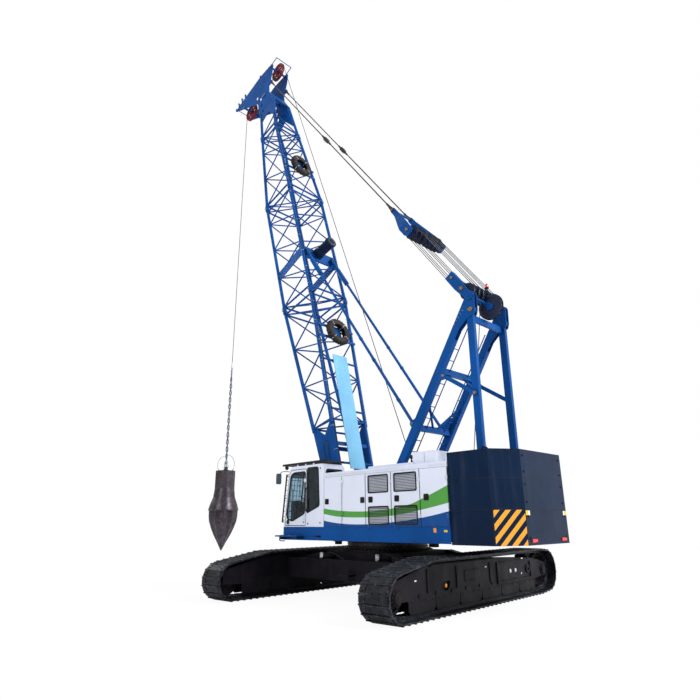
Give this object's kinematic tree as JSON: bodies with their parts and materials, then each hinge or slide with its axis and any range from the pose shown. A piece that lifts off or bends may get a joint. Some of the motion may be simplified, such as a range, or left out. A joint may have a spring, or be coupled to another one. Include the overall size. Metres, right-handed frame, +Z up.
{
  "type": "dynamic compaction machine",
  "caption": "Crawler crane with a lattice boom that hoists and drops a pointed steel rammer to compact the ground; slewing upper works, cab, gantry, counterweight",
  "frame": {"origin": "the point on level ground under the slewing axis", "axes": "+X points where the boom points, +Y to the driver's side, +Z up; the undercarriage stands turned 94 degrees about Z under the upper works"},
  "size_m": [14.6831, 8.5533, 23.6593],
  "materials": {
    "black_trim": "matt black paint",
    "blue_paint": "gloss royal blue paint",
    "cab_glass_tint": "clear tinted safety glass",
    "chair_fabric": "dark woven cloth",
    "chassis_black": "satin black paint",
    "engine_metal": "bare cast metal",
    "hammer_steel": "rusty cast steel",
    "navy_paint": "satin dark navy paint",
    "rope_steel": "greased wire rope",
    "sheave_dark": "dark greased paint",
    "sheave_red": "dark red paint",
    "sky_blue_paint": "gloss light blue paint",
    "track_steel": "dark cast steel, dusty",
    "tyre_rubber": "worn rubber",
    "white_paint": "gloss white paint"
  },
  "bodies": {
    "undercarriage": {"carbody": "chassis_black", "slewing_ring": "chassis_black", "track_frame_left": "chassis_black", "track_frame_right": "chassis_black", "track_left": "track_steel", "track_right": "track_steel", "drive_sprockets": "track_steel", "idler_wheels": "track_steel", "track_rollers": "track_steel", "travel_drives": "chassis_black"},
    "upper_works": {"cab_glass": "cab_glass_tint", "cab_roof_guard": "black_trim", "cab_shell": "white_paint", "counterweight_lower": "navy_paint", "counterweight_middle": "navy_paint", "counterweight_upper": "navy_paint", "deck_left": "blue_paint", "deck_right": "blue_paint", "engine_block": "engine_metal", "gantry_back_legs": "blue_paint", "gantry_front_legs": "blue_paint", "house_left": "white_paint", "house_panel_right": "white_paint", "house_right": "white_paint", "main_frame": "blue_paint", "operator_chair": "chair_fabric", "winch_stands": "chassis_black"},
    "boom": {"boom_base": "blue_paint", "boom_middle": "blue_paint", "boom_top": "blue_paint", "boom_head": "blue_paint", "boom_guard_plate": "sky_blue_paint", "boom_tyres": "tyre_rubber", "boom_buffer": "blue_paint"},
    "luffing_guide_sheave": {"guide_sheave": "sheave_dark"},
    "rear_head_sheave": {"head_sheave_rear": "sheave_red"},
    "front_head_sheave": {"head_sheave_front": "sheave_red"},
    "hoist_line": {"hoist_rope": "rope_steel"},
    "rammer": {"hammer": "hammer_steel"},
    "luffing_frame": {"gantry_sheave_frame": "blue_paint"},
    "luffing_frame_sheaves": {"gantry_sheaves": "sheave_dark"},
    "floating_bail": {"bail": "blue_paint", "pendants": "rope_steel"},
    "floating_bail_sheaves": {"bail_sheaves": "sheave_dark"},
    "backstop_rods": {"backstop_tubes": "blue_paint"},
    "backstop_outer": {"backstop_sleeves": "blue_paint"},
    "hoist_drum": {"hoist_winch_drum": "engine_metal"},
    "luffing_drum": {"luffing_winch_drum": "engine_metal"},
    "cab_side_door": {"cab_door": "white_paint", "cab_door_glass": "cab_glass_tint"},
    "service_door_left_1": {"house_door_left_1": "white_paint"},
    "service_door_left_2": {"house_door_left_2": "white_paint"},
    "service_door_left_3": {"house_door_left_3": "white_paint"},
    "service_door_left_4": {"house_door_left_4": "white_paint"},
    "service_door_left_5": {"house_door_left_5": "white_paint"},
    "service_door_right_3": {"house_door_right_3": "white_paint"},
    "service_door_right_4": {"house_door_right_4": "white_paint"},
    "service_door_right_5": {"house_door_right_5": "white_paint"}
  },
  "joints": [
    {"name": "slew", "type": "hinge", "parent": "undercarriage", "child": "upper_works", "pos_m": [0, 0, 1.25], "axis": [0, 0, 1], "continuous": true},
    {"name": "boom_luff", "type": "hinge", "parent": "upper_works", "child": "boom", "pos_m": [1.2, 0, 2.15], "axis": [0, -1, 0], "range_deg": [-7, 3]},
    {"name": "hoist_line_hang", "type": "hinge", "parent": "boom", "child": "hoist_line", "pos_m": [8.65581, 0, 22.20167], "axis": [0, -1, 0], "range_deg": [-3.5, 7.5]},
    {"name": "hammer_hoist", "type": "slide", "parent": "hoist_line", "child": "rammer", "axis": [0, 0, -1], "range_m": [-12, 0.9], "deforming": ["hoist_rope"]},
    {"name": "luffing_frame_tilt", "type": "hinge", "parent": "upper_works", "child": "luffing_frame", "pos_m": [-3.93, 0, 7.67], "axis": [0, -1, 0], "range_deg": [-7.99, 3.71]},
    {"name": "bail_travel", "type": "slide", "parent": "luffing_frame", "child": "floating_bail", "axis": [0.5761, 0, 0.8174], "range_m": [-0.405, 0.919]},
    {"name": "backstop_swing", "type": "hinge", "parent": "upper_works", "child": "backstop_rods", "pos_m": [-1.68, 0, 4.58], "axis": [0, -1, 0], "range_deg": [-7.73, 3.6]},
    {"name": "backstop_stroke", "type": "slide", "parent": "backstop_rods", "child": "backstop_outer", "axis": [0.5544, 0, 0.8322], "range_m": [-0.215, 0.476]},
    {"name": "rear_head_sheave_spin", "type": "hinge", "parent": "boom", "child": "rear_head_sheave", "pos_m": [6.44801, 0, 23.20925], "axis": [0, 1, 0], "continuous": true},
    {"name": "front_head_sheave_spin", "type": "hinge", "parent": "boom", "child": "front_head_sheave", "pos_m": [8.65581, 0, 22.20167], "axis": [0, 1, 0], "continuous": true},
    {"name": "luffing_frame_sheaves_spin", "type": "hinge", "parent": "luffing_frame", "child": "luffing_frame_sheaves", "pos_m": [-3.74564, 0, 7.93156], "axis": [0, 1, 0], "continuous": true},
    {"name": "guide_sheave_spin", "type": "hinge", "parent": "upper_works", "child": "luffing_guide_sheave", "pos_m": [-4.05, 0, 7.55], "axis": [0, 1, 0], "continuous": true},
    {"name": "bail_sheaves_spin", "type": "hinge", "parent": "floating_bail", "child": "floating_bail_sheaves", "pos_m": [-1.9251, 0, 10.51443], "axis": [0, 1, 0], "continuous": true},
    {"name": "hoist_drum_spin", "type": "hinge", "parent": "upper_works", "child": "hoist_drum", "pos_m": [-1.15, 0, 2.48], "axis": [0, 1, 0], "continuous": true},
    {"name": "luffing_drum_spin", "type": "hinge", "parent": "upper_works", "child": "luffing_drum", "pos_m": [-3.25, 0, 2.38], "axis": [0, 1, 0], "continuous": true},
    {"name": "cab_door_swing", "type": "hinge", "parent": "upper_works", "child": "cab_side_door", "pos_m": [1.735, 1.6623, 1.86], "axis": [0, 0, 1], "range_deg": [0, 90]},
    {"name": "service_door_left_1_swing", "type": "hinge", "parent": "upper_works", "child": "service_door_left_1", "pos_m": [0.17, 1.6623, 1.86], "axis": [0, 0, 1], "range_deg": [0, 90]},
    {"name": "service_door_left_2_swing", "type": "hinge", "parent": "upper_works", "child": "service_door_left_2", "pos_m": [0.17, 1.6623, 1.86], "axis": [0, 0, -1], "range_deg": [0, 90]},
    {"name": "service_door_left_3_swing", "type": "hinge", "parent": "upper_works", "child": "service_door_left_3", "pos_m": [-1.67, 1.6623, 1.86], "axis": [0, 0, 1], "range_deg": [0, 90]},
    {"name": "service_door_left_4_swing", "type": "hinge", "parent": "upper_works", "child": "service_door_left_4", "pos_m": [-2.61, 1.6623, 1.86], "axis": [0, 0, 1], "range_deg": [0, 90]},
    {"name": "service_door_left_5_swing", "type": "hinge", "parent": "upper_works", "child": "service_door_left_5", "pos_m": [-3.45, 1.6623, 1.86], "axis": [0, 0, 1], "range_deg": [0, 90]},
    {"name": "service_door_right_3_swing", "type": "hinge", "parent": "upper_works", "child": "service_door_right_3", "pos_m": [-1.67, -1.6623, 1.86], "axis": [0, 0, -1], "range_deg": [0, 90]},
    {"name": "service_door_right_4_swing", "type": "hinge", "parent": "upper_works", "child": "service_door_right_4", "pos_m": [-2.61, -1.6623, 1.86], "axis": [0, 0, -1], "range_deg": [0, 90]},
    {"name": "service_door_right_5_swing", "type": "hinge", "parent": "upper_works", "child": "service_door_right_5", "pos_m": [-3.45, -1.6623, 1.86], "axis": [0, 0, -1], "range_deg": [0, 90]}
  ],
  "couplings": [
    {"joint": "hoist_line_hang", "follows": "boom_luff", "ratio": -1},
    {"joint": "luffing_frame_tilt", "follows": "boom_luff", "ratio": 1.0697},
    {"joint": "bail_travel", "follows": "boom_luff", "m_per_rad": -7.3548},
    {"joint": "backstop_swing", "follows": "boom_luff", "ratio": 1.0324},
    {"joint": "backstop_stroke", "follows": "boom_luff", "m_per_rad": -3.7306}
  ]
}
